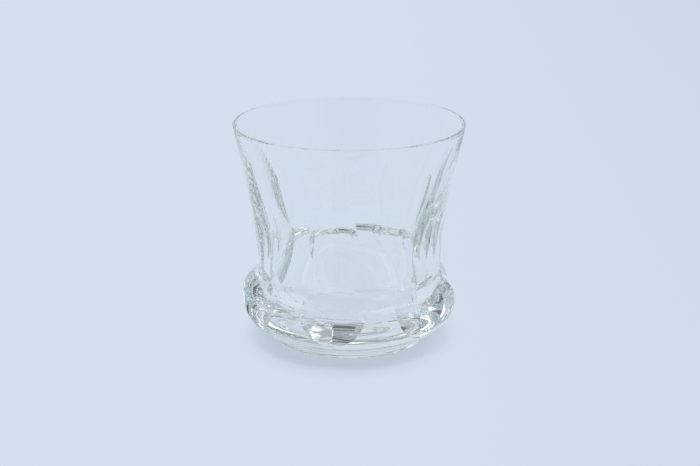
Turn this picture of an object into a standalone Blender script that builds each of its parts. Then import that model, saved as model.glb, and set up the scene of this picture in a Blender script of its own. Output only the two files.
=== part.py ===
"""A waisted whisky tumbler in clear crystal with panels cut round it.

Units are metres and +Z is up. The glass stands on the XY plane with its axis on Z, and the middle of
one cut panel faces -Y. Two pieces make it: the bowl, which carries the waist, the bulge and the cut
panels, and the solid foot that is gathered under it.
"""
import math

import bmesh
import bpy
from mathutils import Matrix

# Heights above the table
RIM_HEIGHT = 0.086
UPPER_HEIGHT = 0.072
BODY_HEIGHT = 0.056
WAIST_HEIGHT = 0.0315
SHOULDER_HEIGHT = 0.025
BULGE_HEIGHT = 0.0188
FOOT_HEIGHT = 0.0076
FLOOR_HEIGHT = 0.0149

# Outer radii; the foot's top steps in from the bulge, and the shoulder lies part of the way from the
# waist out to the bulge
RIM_RADIUS = 0.045
WAIST_RADIUS = 0.0361
BULGE_RADIUS = 0.04224
FOOT_STEP_IN = 0.00302
FOOT_RADIUS = 0.0305
SHOULDER_SHARE = 0.397

# Lean of the outer wall, as radius gained for each unit of height; the shoulder's is given as a
# multiple of the even slope from the waist out to the bulge
RIM_LEAN = 0.20
WAIST_LEAN = 0.026
SHOULDER_STEEPNESS = 2.48
FOOT_TOP_LEAN = 0.896
FOOT_LEAN = 0.023

# Thickness of the wall and lean of its inside, and the hollow, which swells a little towards its floor
RIM_WALL = 0.00112
UPPER_WALL = 0.00155
BODY_WALL = 0.00282
WAIST_WALL = 0.00601
RIM_INSIDE_LEAN = 0.196
UPPER_INSIDE_LEAN = 0.276
BODY_INSIDE_LEAN = 0.335
WAIST_INSIDE_LEAN = -0.025
HOLLOW_SWELL = 0.00246
FLOOR_CORNER = 0.0045
FOOT_EDGE = 0.0008
SEAM_CLEARANCE = 0.0003

# Cut panels: two shallow facets that meet in a crease, which is deepest on the body and on the bulge;
# each run-out is the depth gained for each unit of height at that end of the panel
PANEL_COUNT = 7
PANEL_FACET_TILT = math.radians(3.13)
PANEL_TOP_BELOW_RIM = 0.0104
PANEL_TOP_RUNOUT = 0.062
BODY_CUT_HEIGHT = 0.0481
BODY_CUT_DEPTH = 0.00163
WAIST_CUT_HEIGHT = 0.0317
WAIST_CUT_DEPTH = 0.00101
BULGE_CUT_HEIGHT = 0.0226
BULGE_CUT_DEPTH = 0.00266
PANEL_BOTTOM_ABOVE_FOOT = 0.0006
PANEL_BOTTOM_RUNOUT = 0.388
PANEL_OVERRUN = 0.003
PANEL_SPACING = 0.0005

# Fineness of the mesh
TURN_STEPS = 84
FOOT_POINTS = 7
BULGE_POINTS = 14
BODY_POINTS = 14
INSIDE_POINTS = 14
CORNER_POINTS = 5
RIM_POINTS = 4
CUT_POINTS = 30

CRYSTAL_COLOUR = (0.95, 0.97, 0.98, 1.0)
CRYSTAL_ROUGHNESS = 0.02
CRYSTAL_IOR = 1.54

# Smooth curves over height, as stations of (height, value, slope)
BULGE_OVER_WAIST = BULGE_RADIUS - WAIST_RADIUS
OUTER_WALL = (
    (0.0, FOOT_RADIUS, FOOT_LEAN),
    (FOOT_HEIGHT, BULGE_RADIUS - FOOT_STEP_IN, FOOT_TOP_LEAN),
    (BULGE_HEIGHT, BULGE_RADIUS, 0.0),
    (
        SHOULDER_HEIGHT,
        WAIST_RADIUS + SHOULDER_SHARE * BULGE_OVER_WAIST,
        -SHOULDER_STEEPNESS * BULGE_OVER_WAIST / (WAIST_HEIGHT - BULGE_HEIGHT),
    ),
    (WAIST_HEIGHT, WAIST_RADIUS, WAIST_LEAN),
    (RIM_HEIGHT, RIM_RADIUS, RIM_LEAN),
)
CUT_DEPTH = (
    (FOOT_HEIGHT + PANEL_BOTTOM_ABOVE_FOOT, 0.0, PANEL_BOTTOM_RUNOUT),
    (BULGE_CUT_HEIGHT, BULGE_CUT_DEPTH, 0.0),
    (WAIST_CUT_HEIGHT, WAIST_CUT_DEPTH, 0.0),
    (BODY_CUT_HEIGHT, BODY_CUT_DEPTH, 0.0),
    (RIM_HEIGHT - PANEL_TOP_BELOW_RIM, 0.0, -PANEL_TOP_RUNOUT),
)


def smooth_value(stations, height):
    """Value at a height on the smooth curve through stations of (height, value, slope)."""
    low, high = stations[0], stations[1]
    for low, high in zip(stations, stations[1:]):
        if height <= high[0]:
            break
    if height < low[0]:
        return low[1] + low[2] * (height - low[0])
    if height > high[0]:
        return high[1] + high[2] * (height - high[0])
    span = high[0] - low[0]
    t = (height - low[0]) / span
    return (
        low[1] * (1 - t) ** 2 * (1 + 2 * t)
        + high[1] * t ** 2 * (3 - 2 * t)
        + span * t * (1 - t) * (low[2] * (1 - t) - high[2] * t)
    )


def heights(bottom, top, count):
    """Evenly spaced heights from bottom up to, but not at, top."""
    return [bottom + (top - bottom) * i / count for i in range(count)]


def arc(centre_r, centre_z, radius, start_deg, end_deg, count):
    """Points of (r, z) on an arc from start_deg towards end_deg, both ends included."""
    points = []
    for i in range(count + 1):
        angle = math.radians(start_deg + (end_deg - start_deg) * i / count)
        points.append((centre_r + radius * math.cos(angle), centre_z + radius * math.sin(angle)))
    return points


def clear_scene():
    """Remove every object that is in the scene."""
    for scene_object in list(bpy.data.objects):
        bpy.data.objects.remove(scene_object, do_unlink=True)


def new_collection(name):
    """Make a collection in the scene."""
    collection = bpy.data.collections.new(name)
    bpy.context.scene.collection.children.link(collection)
    return collection


def crystal(name):
    """Clear polished crystal."""
    material = bpy.data.materials.new(name)
    material.use_nodes = True
    shader = material.node_tree.nodes["Principled BSDF"]
    shader.inputs["Base Color"].default_value = CRYSTAL_COLOUR
    shader.inputs["Roughness"].default_value = CRYSTAL_ROUGHNESS
    shader.inputs["Metallic"].default_value = 0.0
    shader.inputs["IOR"].default_value = CRYSTAL_IOR
    shader.inputs["Transmission Weight"].default_value = 1.0
    return material


def turned(name, profile, collection):
    """Turn a profile of (r, z), which runs from axis to axis, into a solid about Z."""
    mesh = bpy.data.meshes.new(name)
    edges = [(i, i + 1) for i in range(len(profile) - 1)]
    mesh.from_pydata([(r, 0.0, z) for r, z in profile], edges, [])
    solid = bpy.data.objects.new(name, mesh)
    collection.objects.link(solid)
    screw = solid.modifiers.new("turn", "SCREW")
    screw.axis = "Z"
    screw.angle = math.tau
    screw.steps = TURN_STEPS
    screw.render_steps = TURN_STEPS
    screw.use_merge_vertices = True
    screw.merge_threshold = 0.000001
    screw.use_smooth_shade = True
    return solid


def inner_wall():
    """Stations of the hollow, set in from the outer wall by the wall's thickness."""
    waist = WAIST_RADIUS - WAIST_WALL
    return (
        (FLOOR_HEIGHT, waist + HOLLOW_SWELL, 0.0),
        (WAIST_HEIGHT, waist, WAIST_INSIDE_LEAN),
        (BODY_HEIGHT, smooth_value(OUTER_WALL, BODY_HEIGHT) - BODY_WALL, BODY_INSIDE_LEAN),
        (UPPER_HEIGHT, smooth_value(OUTER_WALL, UPPER_HEIGHT) - UPPER_WALL, UPPER_INSIDE_LEAN),
        (RIM_HEIGHT, RIM_RADIUS - RIM_WALL, RIM_INSIDE_LEAN),
    )


def bowl_profile():
    """The bowl from the middle of its floor, up inside, over the rim and down outside to the seam."""
    hollow = inner_wall()
    corner_top = FLOOR_HEIGHT + FLOOR_CORNER
    floor_radius = smooth_value(hollow, corner_top) - FLOOR_CORNER
    profile = [(0.0, FLOOR_HEIGHT)]
    profile += arc(floor_radius, corner_top, FLOOR_CORNER, -90, 0, CORNER_POINTS)
    lip_radius = RIM_WALL / 2
    lip_height = RIM_HEIGHT - lip_radius
    for z in heights(corner_top, lip_height, INSIDE_POINTS)[1:]:
        profile.append((smooth_value(hollow, z), z))
    profile += arc(RIM_RADIUS - lip_radius, lip_height, lip_radius, 180, 0, RIM_POINTS)
    seam = FOOT_HEIGHT + SEAM_CLEARANCE / 2
    outside = heights(seam, WAIST_HEIGHT, BULGE_POINTS) + heights(WAIST_HEIGHT, lip_height, BODY_POINTS)
    for z in reversed(outside):
        profile.append((smooth_value(OUTER_WALL, z), z))
    profile.append((0.0, seam))
    return profile


def foot_profile():
    """The foot from the middle of its seat, out to its edge and down to the table."""
    seat = FOOT_HEIGHT - SEAM_CLEARANCE / 2
    profile = [(0.0, seat), (smooth_value(OUTER_WALL, seat), seat)]
    for z in reversed(heights(FOOT_EDGE, seat, FOOT_POINTS)):
        profile.append((smooth_value(OUTER_WALL, z), z))
    profile.append((FOOT_RADIUS - FOOT_EDGE, 0.0))
    profile.append((0.0, 0.0))
    return profile


def panel_outline():
    """Closed outline (r, z) of a panel cutter: the crease line, then a straight back clear of the glass."""
    bottom = CUT_DEPTH[0][0] - PANEL_OVERRUN
    top = CUT_DEPTH[-1][0] + PANEL_OVERRUN
    outline = []
    for z in heights(bottom, top, CUT_POINTS) + [top]:
        outline.append((smooth_value(OUTER_WALL, z) - smooth_value(CUT_DEPTH, z), z))
    back = max(RIM_RADIUS, BULGE_RADIUS) + PANEL_OVERRUN
    return outline + [(back, top), (back, bottom)]


def panel_cutter(name, turn, collection):
    """One panel cutter, turned about Z. Its two facets lean out from the crease by the facet tilt."""
    outline = panel_outline()
    half_width = min(r for r, z in outline) * math.tan(math.pi / PANEL_COUNT) - PANEL_SPACING
    shape = bmesh.new()
    middle = shape.faces.new([shape.verts.new((0.0, -r, z)) for r, z in outline])
    side = bmesh.ops.extrude_face_region(shape, geom=[middle])
    moved = [item for item in side["geom"] if isinstance(item, bmesh.types.BMVert)]
    lean = half_width * math.tan(PANEL_FACET_TILT)
    bmesh.ops.translate(shape, verts=moved, vec=(half_width, -lean, 0.0))
    bmesh.ops.delete(shape, geom=[middle], context="FACES_ONLY")
    bmesh.ops.recalc_face_normals(shape, faces=shape.faces)
    mesh = bpy.data.meshes.new(name)
    shape.to_mesh(mesh)
    shape.free()
    cutter = bpy.data.objects.new(name, mesh)
    collection.objects.link(cutter)
    mirror = cutter.modifiers.new("other facet", "MIRROR")
    mirror.use_axis = (True, False, False)
    mirror.use_clip = True
    mirror.merge_threshold = 0.000001
    cutter.matrix_world = Matrix.Rotation(turn, 4, "Z")
    cutter.hide_render = True
    cutter.display_type = "WIRE"
    return cutter


def build():
    """Model the glass."""
    clear_scene()
    glass_parts = new_collection("whisky_glass")
    cutters = new_collection("cutters")
    bowl = turned("bowl", bowl_profile(), glass_parts)
    foot = turned("foot", foot_profile(), glass_parts)
    for index in range(PANEL_COUNT):
        panel_cutter(f"panel_{index + 1}", math.tau * index / PANEL_COUNT, cutters)
    cut = bowl.modifiers.new("cut panels", "BOOLEAN")
    cut.operation = "DIFFERENCE"
    cut.solver = "EXACT"
    cut.operand_type = "COLLECTION"
    cut.collection = cutters
    bowl.data.materials.append(crystal("bowl crystal"))
    foot.data.materials.append(crystal("foot crystal"))


build()
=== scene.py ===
"""Looks of a waisted whisky tumbler in cut crystal.

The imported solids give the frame: metres, +Z up, the glass standing on z = 0 with its axis on Z and the
middle of one cut panel facing -Y. On the real glass the bowl and the foot are fused, so one unbroken
mesh of crystal stands for both here, and light passes through it without meeting a seam.
"""
import logging
import math
from dataclasses import dataclass
from enum import Enum
from typing import Any, Mapping, Sequence

import bpy
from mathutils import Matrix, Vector

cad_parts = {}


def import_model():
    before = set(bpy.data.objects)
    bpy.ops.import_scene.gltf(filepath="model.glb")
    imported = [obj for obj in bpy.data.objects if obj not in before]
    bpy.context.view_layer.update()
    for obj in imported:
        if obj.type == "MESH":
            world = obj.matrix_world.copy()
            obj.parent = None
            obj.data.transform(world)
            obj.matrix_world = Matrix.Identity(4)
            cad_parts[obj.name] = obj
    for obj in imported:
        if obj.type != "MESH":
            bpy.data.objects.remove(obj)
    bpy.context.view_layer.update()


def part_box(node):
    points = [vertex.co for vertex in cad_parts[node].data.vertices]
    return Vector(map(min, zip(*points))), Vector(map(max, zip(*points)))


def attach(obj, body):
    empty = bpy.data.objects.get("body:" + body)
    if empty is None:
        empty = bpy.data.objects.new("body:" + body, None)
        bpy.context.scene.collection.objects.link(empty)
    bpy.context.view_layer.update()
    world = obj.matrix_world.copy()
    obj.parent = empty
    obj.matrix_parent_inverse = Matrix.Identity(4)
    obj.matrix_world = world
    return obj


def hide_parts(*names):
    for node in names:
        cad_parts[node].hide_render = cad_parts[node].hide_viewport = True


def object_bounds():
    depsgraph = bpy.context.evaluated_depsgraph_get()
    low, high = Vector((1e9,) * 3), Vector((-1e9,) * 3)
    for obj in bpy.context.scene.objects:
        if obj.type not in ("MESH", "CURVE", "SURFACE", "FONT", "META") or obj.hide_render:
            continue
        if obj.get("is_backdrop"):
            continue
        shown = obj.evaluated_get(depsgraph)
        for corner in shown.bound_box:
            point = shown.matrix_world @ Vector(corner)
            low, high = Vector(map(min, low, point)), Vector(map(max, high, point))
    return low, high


Colour = tuple[float, float, float]
Outline = list[tuple[float, float]]

PHOTO_WIDTH = 700
MERGE_DISTANCE = 0.000001
LIGHT_BOUNCES = 32
ORIGIN = Vector((0.0, 0.0, 0.0))
UP = Vector((0.0, 0.0, 1.0))

log = logging.getLogger("whisky_tumbler")


class MathWork(Enum):
    """What a Math node works out."""

    ADD = "ADD"
    SUBTRACT = "SUBTRACT"
    MULTIPLY = "MULTIPLY"
    MAXIMUM = "MAXIMUM"
    ABSOLUTE = "ABSOLUTE"


class Ray(Enum):
    """Kinds of ray that a Light Path node tells apart."""

    CAMERA = "Is Camera Ray"
    DIFFUSE = "Is Diffuse Ray"
    GLOSSY = "Is Glossy Ray"
    TRANSMISSION = "Is Transmission Ray"


@dataclass(frozen=True)
class Value:
    """A node's output that Python's arithmetic can be written with."""

    board: "NodeBoard"
    socket: bpy.types.NodeSocket

    def _work(self, work: MathWork, left: "Value | float", right: "Value | float") -> "Value":
        """Add the Math node for one step of an expression.

        Args:
            work: What the node works out.
            left: First term.
            right: Second term.

        Returns:
            The node's output.
        """
        node = self.board.node("ShaderNodeMath", {"operation": work.value}, {0: left, 1: right})
        return Value(self.board, node.outputs[0])

    def __add__(self, other: "Value | float") -> "Value":
        """Sum."""
        return self._work(MathWork.ADD, self, other)

    def __radd__(self, other: float) -> "Value":
        """Sum, with the number first."""
        return self._work(MathWork.ADD, other, self)

    def __sub__(self, other: "Value | float") -> "Value":
        """Difference."""
        return self._work(MathWork.SUBTRACT, self, other)

    def __rsub__(self, other: float) -> "Value":
        """Difference, with the number first."""
        return self._work(MathWork.SUBTRACT, other, self)

    def __mul__(self, other: "Value | float") -> "Value":
        """Product."""
        return self._work(MathWork.MULTIPLY, self, other)

    def __rmul__(self, other: float) -> "Value":
        """Product, with the number first."""
        return self._work(MathWork.MULTIPLY, other, self)

    def __or__(self, other: "Value | float") -> "Value":
        """The larger of two masks."""
        return self._work(MathWork.MAXIMUM, self, other)

    def __abs__(self) -> "Value":
        """Size without the sign."""
        return self._work(MathWork.ABSOLUTE, self, 0.0)


@dataclass(frozen=True)
class NodeBoard:
    """A node tree that shaders are wired up on."""

    tree: bpy.types.NodeTree

    def node(
        self,
        kind: str,
        settings: Mapping[str, Any] | None = None,
        inputs: Mapping[str | int, Any] | None = None,
    ) -> bpy.types.Node:
        """Add a node.

        Args:
            kind: Blender's name for the node's type.
            settings: Properties of the node, set first.
            inputs: A number, colour, Value or socket for each named or numbered input.

        Returns:
            The node.
        """
        node = self.tree.nodes.new(kind)
        for name, setting in (settings or {}).items():
            setattr(node, name, setting)
        self.feed(node, inputs or {})
        return node

    def feed(self, node: bpy.types.Node, inputs: Mapping[str | int, Any]) -> None:
        """Set or link a node's inputs.

        Args:
            node: The node.
            inputs: A number, colour, Value or socket for each named or numbered input.
        """
        for name, given in inputs.items():
            if isinstance(given, Value):
                self.tree.links.new(given.socket, node.inputs[name])
            elif isinstance(given, bpy.types.NodeSocket):
                self.tree.links.new(given, node.inputs[name])
            else:
                node.inputs[name].default_value = given

    def value(self, node: bpy.types.Node, output: str | int = 0) -> Value:
        """A node's output, ready for arithmetic."""
        return Value(self, node.outputs[output])

    def seen_by(self, *rays: Ray) -> Value:
        """Mask that is 1 for these kinds of ray.

        Args:
            rays: The kinds of ray.

        Returns:
            The mask.
        """
        path = self.node("ShaderNodeLightPath")
        mask = self.value(path, rays[0].value)
        for ray in rays[1:]:
            mask = mask | self.value(path, ray.value)
        return mask

    def along(self, vector: bpy.types.NodeSocket, axis: Vector) -> Value:
        """Length of a vector along an axis.

        Args:
            vector: Socket with the vector.
            axis: The axis.

        Returns:
            The length.
        """
        node = self.node("ShaderNodeVectorMath", {"operation": "DOT_PRODUCT"}, {0: vector, 1: axis})
        return self.value(node, "Value")

    def rise(self, value: Value, reach: float) -> Value:
        """Rise smoothly from 0 to 1 while a value goes from 0 to a reach.

        Args:
            value: The value.
            reach: Where the rise ends.

        Returns:
            The rising value.
        """
        node = self.node(
            "ShaderNodeMapRange",
            {"interpolation_type": "SMOOTHSTEP"},
            {"Value": value, "From Min": 0.0, "From Max": reach},
        )
        return self.value(node)

    def mix(self, share: Value | float, first: Any, second: Any) -> bpy.types.NodeSocket:
        """Mix two colours.

        Args:
            share: How much of the second colour shows.
            first: A colour or a socket.
            second: A colour or a socket.

        Returns:
            The mixed colour's socket.
        """
        # A Mix node numbers its colour sockets 6 and 7 on the way in and 2 on the way out.
        node = self.node("ShaderNodeMix", {"data_type": "RGBA"}, {0: share, 6: first, 7: second})
        return node.outputs[2]


def rgba(colour: Colour) -> tuple[float, float, float, float]:
    """A colour with full cover."""
    return (*colour, 1.0)


def facing(turn: float, elevation: float) -> tuple[Vector, Vector]:
    """Find a direction from the glass.

    Args:
        turn: Angle round Z, counted from -Y towards +X.
        elevation: Angle above the floor.

    Returns:
        The direction, and the level direction to the right of someone who looks back along it.
    """
    direction = Vector((math.sin(turn), -math.cos(turn), 0.0)) * math.cos(elevation)
    direction.z = math.sin(elevation)
    return direction, Vector((math.cos(turn), math.sin(turn), 0.0))


@dataclass(frozen=True)
class CrystalFinish:
    """Clear crystal: fire-polished where it was shaped hot, with faint ripples and wiping marks."""

    clear: Colour = (0.995, 1.0, 0.998)
    warm: Colour = (0.982, 0.99, 0.984)
    ior: float = 1.544
    absorbed_tint: Colour = (0.72, 0.86, 0.8)
    absorbed_per_metre: float = 3.0
    wiped_roughness: float = 0.012
    tint_scale: float = 45.0
    wipe_scale: float = 160.0
    wipe_detail: float = 4.0
    wipe_swirl: float = 1.5
    ripple_scale: float = 110.0
    ripple_detail: float = 1.0
    ripple_height: float = 0.000002

    def make(self, name: str) -> bpy.types.Material:
        """Make the material.

        Args:
            name: The material's name.

        Returns:
            The material.
        """
        material = bpy.data.materials.new(name)
        material.use_nodes = True
        board = NodeBoard(material.node_tree)
        shader = material.node_tree.nodes["Principled BSDF"]
        place = board.node("ShaderNodeTexCoord").outputs["Object"]
        clouds = board.node("ShaderNodeTexNoise", inputs={"Vector": place, "Scale": self.tint_scale})
        wiping = board.node(
            "ShaderNodeTexNoise",
            inputs={
                "Vector": place,
                "Scale": self.wipe_scale,
                "Detail": self.wipe_detail,
                "Distortion": self.wipe_swirl,
            },
        )
        ripples = board.node(
            "ShaderNodeTexNoise",
            inputs={"Vector": place, "Scale": self.ripple_scale, "Detail": self.ripple_detail},
        )
        bump = board.node(
            "ShaderNodeBump",
            inputs={"Strength": 1.0, "Distance": self.ripple_height, "Height": board.value(ripples)},
        )
        board.feed(
            shader,
            {
                "Base Color": board.mix(board.value(clouds), rgba(self.clear), rgba(self.warm)),
                "Roughness": board.value(wiping) * self.wiped_roughness,
                "Normal": bump.outputs["Normal"],
                "IOR": self.ior,
                "Transmission Weight": 1.0,
            },
        )
        body = board.node(
            "ShaderNodeVolumeAbsorption",
            inputs={"Color": rgba(self.absorbed_tint), "Density": self.absorbed_per_metre},
        )
        board.feed(material.node_tree.nodes["Material Output"], {"Volume": body.outputs["Volume"]})
        return material


@dataclass(frozen=True)
class Station:
    """A height on a smooth curve, with the curve's value and slope there."""

    height: float
    value: float
    slope: float


@dataclass(frozen=True)
class SmoothCurve:
    """A curve over height that runs smoothly through its stations and straight on beyond them."""

    stations: tuple[Station, ...]

    def at(self, height: float) -> float:
        """Value at a height.

        Args:
            height: Height above the table.

        Returns:
            The curve's value.
        """
        low, high = self.stations[0], self.stations[1]
        for low, high in zip(self.stations, self.stations[1:]):
            if height <= high.height:
                break
        if height < low.height:
            return low.value + low.slope * (height - low.height)
        if height > high.height:
            return high.value + high.slope * (height - high.height)
        span = high.height - low.height
        t = (height - low.height) / span
        ends = low.value * (1 - t) ** 2 * (1 + 2 * t) + high.value * t ** 2 * (3 - 2 * t)
        return ends + span * t * (1 - t) * (low.slope * (1 - t) - high.slope * t)


def spaced(start: float, end: float, count: int) -> list[float]:
    """Evenly spaced numbers from start up to, but not at, end."""
    return [start + (end - start) * i / count for i in range(count)]


def arc(centre: tuple[float, float], radius: float, start: float, end: float, count: int) -> Outline:
    """Points on an arc.

    Args:
        centre: Radius and height of the arc's centre.
        radius: The arc's radius.
        start: Angle of the first point, in degrees.
        end: Angle of the last point, in degrees.
        count: Number of steps.

    Returns:
        The points, with both ends.
    """
    points = []
    for i in range(count + 1):
        angle = math.radians(start + (end - start) * i / count)
        points.append((centre[0] + radius * math.cos(angle), centre[1] + radius * math.sin(angle)))
    return points


def draw_chain(name: str, points: Sequence[Vector]) -> bpy.types.Object:
    """Draw a chain of edges: a plane is collapsed to one vertex, which is extruded from point to point.

    Args:
        name: The new object's name.
        points: The chain's points.

    Returns:
        The object, left in edit mode with its last vertex selected.
    """
    bpy.ops.object.select_all(action="DESELECT")
    bpy.ops.mesh.primitive_plane_add(size=points[0].length)
    chain = bpy.context.object
    chain.name = name
    chain.data.name = name
    bpy.ops.object.mode_set(mode="EDIT")
    bpy.ops.mesh.select_mode(type="VERT")
    bpy.ops.mesh.merge(type="CENTER")
    bpy.ops.transform.translate(value=points[0])
    for start, end in zip(points, points[1:]):
        bpy.ops.mesh.extrude_vertices_move(TRANSFORM_OT_translate={"value": end - start})
    return chain


@dataclass
class CutPanels:
    """Panels that a wheel cut round the side: two shallow facets each, which meet in a crease."""

    wall: SmoothCurve
    bottom_height: float
    top_height: float
    clear_radius: float
    count: int = 7
    facet_tilt: float = math.radians(3.13)
    top_runout: float = 0.062
    body_cut_height: float = 0.0481
    body_cut_depth: float = 0.00163
    waist_cut_height: float = 0.0317
    waist_cut_depth: float = 0.00101
    bulge_cut_height: float = 0.0226
    bulge_cut_depth: float = 0.00266
    bottom_runout: float = 0.388
    overrun: float = 0.003
    spacing: float = 0.0005
    steps: int = 120

    def depth(self) -> SmoothCurve:
        """Depth of the crease under the uncut wall.

        Returns:
            The depth over height.
        """
        return SmoothCurve(
            (
                Station(self.bottom_height, 0.0, self.bottom_runout),
                Station(self.bulge_cut_height, self.bulge_cut_depth, 0.0),
                Station(self.waist_cut_height, self.waist_cut_depth, 0.0),
                Station(self.body_cut_height, self.body_cut_depth, 0.0),
                Station(self.top_height, 0.0, -self.top_runout),
            )
        )

    def crease(self) -> Outline:
        """Run a crease out past both ends of its panel.

        Returns:
            Radius and height of points along the crease.
        """
        depth = self.depth()
        bottom = self.bottom_height - self.overrun
        top = self.top_height + self.overrun
        heights = spaced(bottom, top, self.steps) + [top]
        return [(self.wall.at(z) - depth.at(z), z) for z in heights]

    def model_cutters(self) -> bpy.types.Object:
        """Model one cutter, copy it round the glass and join the copies.

        Returns:
            The cutters, as one object.
        """
        crease = self.crease()
        half_width = min(r for r, z in crease) * math.tan(math.pi / self.count) - self.spacing
        lean = half_width * math.tan(self.facet_tilt)
        back = self.clear_radius + self.overrun + lean
        outline = crease + [(back, crease[-1][1]), (back, crease[0][1])]
        first = draw_chain("panel cutters", [Vector((-half_width, -r - lean, z)) for r, z in outline])
        bpy.ops.mesh.select_all(action="SELECT")
        bpy.ops.mesh.edge_face_add()
        for side_step in (lean, -lean):
            step = Vector((half_width, side_step, 0.0))
            bpy.ops.mesh.extrude_region_move(TRANSFORM_OT_translate={"value": step})
        bpy.ops.mesh.select_all(action="SELECT")
        bpy.ops.mesh.normals_make_consistent(inside=False)
        bpy.ops.object.mode_set(mode="OBJECT")
        cutters = [first]
        for _ in range(self.count - 1):
            bpy.ops.object.duplicate()
            bpy.ops.transform.rotate(
                value=math.tau / self.count, orient_axis="Z", center_override=ORIGIN
            )
            cutters.append(bpy.context.object)
        for cutter in cutters:
            cutter.select_set(True)
        bpy.context.view_layer.objects.active = first
        bpy.ops.object.join()
        bpy.ops.object.transform_apply(location=True, rotation=True, scale=True)
        return first


@dataclass
class Tumbler:
    """The glass: a turned blank with a waist, a bulge and a coved foot, cut with panels."""

    rim_height: float
    rim_radius: float
    foot_height: float
    upper_height: float = 0.072
    body_height: float = 0.056
    waist_height: float = 0.0315
    shoulder_height: float = 0.025
    bulge_height: float = 0.0188
    floor_height: float = 0.0149
    waist_radius: float = 0.0361
    shoulder_radius: float = 0.03854
    bulge_radius: float = 0.04224
    foot_top_radius: float = 0.03922
    foot_radius: float = 0.0305
    rim_lean: float = 0.20
    waist_lean: float = 0.026
    shoulder_lean: float = -1.199
    foot_top_lean: float = 0.896
    foot_lean: float = 0.023
    rim_wall: float = 0.00112
    upper_wall: float = 0.00155
    body_wall: float = 0.00282
    waist_wall: float = 0.00601
    rim_inside_lean: float = 0.196
    upper_inside_lean: float = 0.276
    body_inside_lean: float = 0.335
    waist_inside_lean: float = -0.025
    hollow_swell: float = 0.00246
    floor_corner: float = 0.0045
    foot_edge: float = 0.0008
    panel_top_below_rim: float = 0.0104
    panel_bottom_above_foot: float = 0.0006
    floor_steps: int = 6
    corner_steps: int = 16
    hollow_steps: int = 64
    lip_steps: int = 12
    body_steps: int = 72
    bulge_steps: int = 90
    foot_edge_steps: int = 6
    turn_steps: int = 224
    smooth_angle: float = math.radians(3.0)
    finish: CrystalFinish = CrystalFinish()

    @classmethod
    def from_frame(cls) -> "Tumbler":
        """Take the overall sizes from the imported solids.

        Returns:
            A tumbler of their size.
        """
        low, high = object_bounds()
        foot_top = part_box("foot")[1].z
        bowl_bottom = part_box("bowl")[0].z
        return cls(
            rim_height=high.z,
            rim_radius=(high.x - low.x) / 2,
            foot_height=(foot_top + bowl_bottom) / 2,
        )

    def outer_wall(self) -> SmoothCurve:
        """Run a curve up the uncut outside.

        Returns:
            The outside's radius over height.
        """
        return SmoothCurve(
            (
                Station(0.0, self.foot_radius, self.foot_lean),
                Station(self.foot_height, self.foot_top_radius, self.foot_top_lean),
                Station(self.bulge_height, self.bulge_radius, 0.0),
                Station(self.shoulder_height, self.shoulder_radius, self.shoulder_lean),
                Station(self.waist_height, self.waist_radius, self.waist_lean),
                Station(self.rim_height, self.rim_radius, self.rim_lean),
            )
        )

    def inner_wall(self) -> SmoothCurve:
        """Run a curve up the inside.

        Returns:
            The hollow's radius over height.
        """
        outer = self.outer_wall()
        waist = self.waist_radius - self.waist_wall
        body = outer.at(self.body_height) - self.body_wall
        upper = outer.at(self.upper_height) - self.upper_wall
        return SmoothCurve(
            (
                Station(self.floor_height, waist + self.hollow_swell, 0.0),
                Station(self.waist_height, waist, self.waist_inside_lean),
                Station(self.body_height, body, self.body_inside_lean),
                Station(self.upper_height, upper, self.upper_inside_lean),
                Station(self.rim_height, self.rim_radius - self.rim_wall, self.rim_inside_lean),
            )
        )

    def profile(self) -> Outline:
        """Draw the blank's outline from the middle of its floor, over the rim, to the middle underneath.

        Returns:
            The outline.
        """
        outer, inner = self.outer_wall(), self.inner_wall()
        corner_top = self.floor_height + self.floor_corner
        floor_radius = inner.at(corner_top) - self.floor_corner
        lip = self.rim_wall / 2
        lip_height = self.rim_height - lip
        seat_radius = outer.at(self.foot_edge) - self.foot_edge
        line = [(r, self.floor_height) for r in spaced(0.0, floor_radius, self.floor_steps)]
        line += arc((floor_radius, corner_top), self.floor_corner, -90, 0, self.corner_steps)
        line += [(inner.at(z), z) for z in spaced(corner_top, lip_height, self.hollow_steps)[1:]]
        line += arc((self.rim_radius - lip, lip_height), lip, 180, 0, self.lip_steps)
        outside = spaced(self.foot_edge, self.waist_height, self.bulge_steps)
        outside += spaced(self.waist_height, lip_height, self.body_steps)
        line += [(outer.at(z), z) for z in reversed(outside[1:])]
        line += arc((seat_radius, self.foot_edge), self.foot_edge, 0, -90, self.foot_edge_steps)
        line += [(r, 0.0) for r in reversed(spaced(0.0, seat_radius, self.floor_steps))]
        return line

    def turn_blank(self) -> bpy.types.Object:
        """Turn the profile about Z.

        Returns:
            The blank, closed and pointing outwards.
        """
        blank = draw_chain("tumbler", [Vector((r, 0.0, z)) for r, z in self.profile()])
        bpy.ops.mesh.select_all(action="SELECT")
        bpy.ops.mesh.spin(steps=self.turn_steps, angle=math.tau, center=ORIGIN, axis=UP)
        bpy.ops.mesh.select_all(action="SELECT")
        bpy.ops.mesh.remove_doubles(threshold=MERGE_DISTANCE)
        bpy.ops.mesh.normals_make_consistent(inside=False)
        bpy.ops.object.mode_set(mode="OBJECT")
        return blank

    def panels(self) -> CutPanels:
        """The panels cut into this glass."""
        return CutPanels(
            wall=self.outer_wall(),
            bottom_height=self.foot_height + self.panel_bottom_above_foot,
            top_height=self.rim_height - self.panel_top_below_rim,
            clear_radius=max(self.rim_radius, self.bulge_radius),
        )

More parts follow.
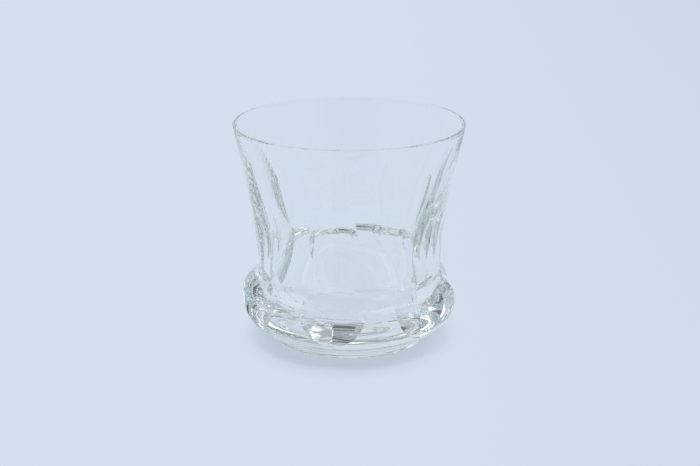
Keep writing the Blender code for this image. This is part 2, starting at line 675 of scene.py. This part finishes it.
    def build(self) -> bpy.types.Object:
        """Turn, cut and finish the glass.

        Returns:
            The glass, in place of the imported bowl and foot.
        """
        glass = self.turn_blank()
        cutters = self.panels().model_cutters()
        bpy.ops.object.select_all(action="DESELECT")
        glass.select_set(True)
        bpy.context.view_layer.objects.active = glass
        cut = glass.modifiers.new("cut panels", "BOOLEAN")
        cut.operation = "DIFFERENCE"
        cut.solver = "EXACT"
        cut.object = cutters
        bpy.ops.object.modifier_apply(modifier=cut.name)
        bpy.data.objects.remove(cutters, do_unlink=True)
        bpy.ops.object.shade_smooth_by_angle(angle=self.smooth_angle)
        glass.data.materials.clear()
        glass.data.materials.append(self.finish.make("clear crystal"))
        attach(glass, "root")
        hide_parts("bowl", "foot")
        return glass


@dataclass(frozen=True)
class Card:
    """A flat card or softbox on the dome, which only the glass mirrors and bends.

    It is as far away as the dome, so its half width and half height are given per unit of distance. Its
    turn, counted from -Y towards +X, and its elevation are in degrees.
    """

    shade: Colour
    turn: float
    elevation: float
    half_width: float
    half_height: float
    soft_edge: float = 0.04

    def cover(self, board: NodeBoard, direction: bpy.types.NodeSocket) -> Value:
        """Mask of the directions in which the card hangs.

        Args:
            board: The board of the dome's world.
            direction: Socket with the direction that a ray leaves in.

        Returns:
            The mask.
        """
        toward, right = facing(math.radians(self.turn), math.radians(self.elevation))
        ahead = board.along(direction, toward)
        aside = abs(board.along(direction, right))
        above = abs(board.along(direction, right.cross(-toward)))
        inside_width = board.rise(ahead * self.half_width - aside, self.soft_edge)
        inside_height = board.rise(ahead * self.half_height - above, self.soft_edge)
        return inside_width * inside_height


@dataclass
class Studio:
    """A pale floor under a dome of light that is hung with dark cards and softboxes.

    Round the foot the floor takes part of its light from the lamp, so the glass throws its shadow there.
    Further out the floor only glows. This glow is painted light that fills in the shadow, sooner to the
    sides, and it is painted a little dimmer towards the right and the back as a painted light falloff.
    """

    pale: Colour = (0.65, 0.735, 0.843)
    floor_paint: Colour = (0.64, 0.725, 0.825)
    floor_roughness: float = 0.9
    floor_size: float = 12.0
    floor_gap: float = 0.0001
    # The glow shares and the shadow fields set how far painted glow fills in the lamp's shadow on the
    # floor.
    glow_share: float = 0.7
    glow_share_through_glass: float = 0.94
    shadow_stretch: tuple[float, float, float] = (1.2, 1.0, 0.0)
    shadow_fades_from: float = 0.036
    shadow_fade: float = 0.02
    # Painted light falloff: the floor's glow is painted brighter along bright_side, between these places
    # and strengths.
    bright_side: tuple[float, float, float] = (-1.0, -0.15, 0.0)
    dim_place: float = -0.35
    bright_place: float = 0.05
    dim_strength: float = 0.94
    bright_strength: float = 1.01
    horizon: Colour = (0.6, 0.66, 0.73)
    horizon_top: float = 0.2
    horizon_fade: float = 0.14
    dome: Colour = (0.45, 0.488, 0.526)
    cards: tuple[Card, ...] = (
        Card((0.7, 0.76, 0.83), turn=214.0, elevation=10.0, half_width=0.72, half_height=0.4),
        Card((0.8, 0.85, 0.9), turn=0.0, elevation=90.0, half_width=0.36, half_height=0.36),
        Card(
            (0.3, 0.33, 0.36), turn=8.0, elevation=5.0, half_width=0.8, half_height=0.28, soft_edge=0.25
        ),
        Card((0.1, 0.108, 0.114), turn=2.0, elevation=34.5, half_width=0.32, half_height=0.33),
        Card((0.25, 0.27, 0.29), turn=180.0, elevation=58.0, half_width=0.45, half_height=0.3),
        Card((1.45, 1.48, 1.52), turn=265.0, elevation=47.0, half_width=0.6, half_height=0.25),
        Card((1.32, 1.35, 1.39), turn=78.0, elevation=45.0, half_width=0.5, half_height=0.25),
        Card((0.12, 0.13, 0.137), turn=90.0, elevation=23.0, half_width=0.4, half_height=0.1),
        Card((0.12, 0.13, 0.137), turn=265.0, elevation=24.0, half_width=0.4, half_height=0.1),
    )
    dome_share: float = 0.2
    lamp_place: tuple[float, float, float] = (-0.1, 0.2, 2.8)
    lamp_size: float = 1.6
    lamp_watts: float = 83.0

    def lay_floor(self) -> bpy.types.Object:
        """Lay the floor, a hair below the foot so that the foot's face isn't in the same plane.

        Returns:
            The floor.
        """
        bpy.ops.object.select_all(action="DESELECT")
        bpy.ops.mesh.primitive_plane_add(size=self.floor_size, location=(0.0, 0.0, -self.floor_gap))
        floor = bpy.context.object
        floor.name = "floor"
        paint = bpy.data.materials.new("pale floor")
        paint.use_nodes = True
        board = NodeBoard(paint.node_tree)
        shader = paint.node_tree.nodes["Principled BSDF"]
        board.feed(
            shader,
            {
                "Base Color": rgba(self.floor_paint),
                "Roughness": self.floor_roughness,
                "Specular IOR Level": 0.0,
            },
        )
        # Painted light falloff: the glow is painted brighter towards bright_side and dimmer towards the
        # right and the back.
        place = board.node("ShaderNodeTexCoord").outputs["Object"]
        painted_light_falloff = board.node(
            "ShaderNodeMapRange",
            {"interpolation_type": "SMOOTHSTEP"},
            {
                "Value": board.along(place, Vector(self.bright_side)),
                "From Min": self.dim_place,
                "From Max": self.bright_place,
                "To Min": self.dim_strength,
                "To Max": self.bright_strength,
            },
        )
        glow = board.node(
            "ShaderNodeEmission", inputs={"Color": rgba(self.pale), "Strength": board.value(painted_light_falloff)}
        )
        # Painted light: away from the foot the glow takes over from the lamp and fills in the glass's
        # shadow, sooner to the sides where the distance is stretched.
        stretched = board.node(
            "ShaderNodeVectorMath", {"operation": "MULTIPLY"}, {0: place, 1: self.shadow_stretch}
        )
        distance = board.node(
            "ShaderNodeVectorMath", {"operation": "LENGTH"}, {0: stretched.outputs["Vector"]}
        )
        far = board.rise(board.value(distance, "Value") - self.shadow_fades_from, self.shadow_fade)
        # Seen through the glass the floor takes more painted glow, which hides most of its shadow there.
        near = board.seen_by(Ray.CAMERA, Ray.GLOSSY) * self.glow_share
        near = near | board.seen_by(Ray.TRANSMISSION) * self.glow_share_through_glass
        seen = board.seen_by(Ray.CAMERA, Ray.GLOSSY, Ray.TRANSMISSION)
        share = near + (seen - near) * far
        mixed = board.node(
            "ShaderNodeMixShader", inputs={0: share, 1: shader.outputs[0], 2: glow.outputs[0]}
        )
        board.feed(paint.node_tree.nodes["Material Output"], {"Surface": mixed.outputs[0]})
        floor.data.materials.append(paint)
        floor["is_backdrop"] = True
        return floor

    def raise_dome(self) -> bpy.types.World:
        """Light the dome.

        Returns:
            The world.
        """
        world = bpy.data.worlds.new("studio dome")
        world.use_nodes = True
        board = NodeBoard(world.node_tree)
        direction = board.node("ShaderNodeTexCoord").outputs["Generated"]
        seen = board.seen_by(Ray.GLOSSY, Ray.TRANSMISSION)
        above_horizon = board.along(direction, UP) - self.horizon_top
        around = board.mix(
            board.rise(above_horizon, self.horizon_fade), rgba(self.horizon), rgba(self.dome)
        )
        sky = board.mix(seen, rgba(self.pale), around)
        for card in self.cards:
            sky = board.mix(card.cover(board, direction) * seen, sky, rgba(card.shade))
        strength = 1.0 - board.seen_by(Ray.DIFFUSE) * (1.0 - self.dome_share)
        board.feed(world.node_tree.nodes["Background"], {"Color": sky, "Strength": strength})
        bpy.context.scene.world = world
        return world

    def hang_lamp(self) -> bpy.types.Object:
        """Hang a large soft lamp that throws the shadow.

        Returns:
            The lamp.
        """
        data = bpy.data.lights.new("soft lamp", "AREA")
        data.shape = "DISK"
        data.size = self.lamp_size
        data.energy = self.lamp_watts
        lamp = bpy.data.objects.new("soft lamp", data)
        bpy.context.scene.collection.objects.link(lamp)
        lamp.location = self.lamp_place
        lamp.rotation_mode = "QUATERNION"
        lamp.rotation_quaternion = (-Vector(self.lamp_place)).to_track_quat("-Z", "Y")
        lamp.visible_glossy = False
        lamp.visible_transmission = False
        return lamp

    def build(self) -> None:
        """Set up the floor, the dome and the lamp."""
        self.lay_floor()
        self.raise_dome()
        self.hang_lamp()


@dataclass
class PhotoCamera:
    """A camera at the photograph's viewing angle."""

    turn: float = math.radians(9.09)
    elevation: float = math.radians(17.48)
    distance: float = 0.6
    aim_height: float = 0.0409
    aim_right: float = 0.00029
    pixels_per_radian: float = 1522.0
    sensor_width: float = 36.0

    def build(self) -> bpy.types.Object:
        """Set up the camera.

        Returns:
            The camera, made the scene's own.
        """
        back, right = facing(self.turn, self.elevation)
        data = bpy.data.cameras.new("photo camera")
        data.sensor_fit = "HORIZONTAL"
        data.sensor_width = self.sensor_width
        data.lens = self.sensor_width * self.pixels_per_radian / PHOTO_WIDTH
        camera = bpy.data.objects.new("photo camera", data)
        bpy.context.scene.collection.objects.link(camera)
        aim = right * self.aim_right + UP * self.aim_height
        camera.location = aim + back * self.distance
        camera.rotation_mode = "QUATERNION"
        camera.rotation_quaternion = (-back).to_track_quat("-Z", "Y")
        bpy.context.scene.camera = camera
        return camera


def let_light_through(scene: bpy.types.Scene) -> None:
    """Let light bounce often enough inside the crystal, and show colours as they are written.

    Args:
        scene: The scene.
    """
    scene.view_settings.view_transform = "Standard"
    scene.cycles.max_bounces = LIGHT_BOUNCES
    scene.cycles.glossy_bounces = LIGHT_BOUNCES
    scene.cycles.transmission_bounces = LIGHT_BOUNCES


def main() -> None:
    """Build the glass and the studio round it."""
    logging.basicConfig(level=logging.INFO, format="%(name)s: %(message)s")
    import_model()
    let_light_through(bpy.context.scene)
    PhotoCamera().build()
    glass = Tumbler.from_frame().build()
    log.info("%s has %d faces", glass.name, len(glass.data.polygons))
    Studio().build()
    log.info("studio is lit")


if __name__ == "__main__":
    main()
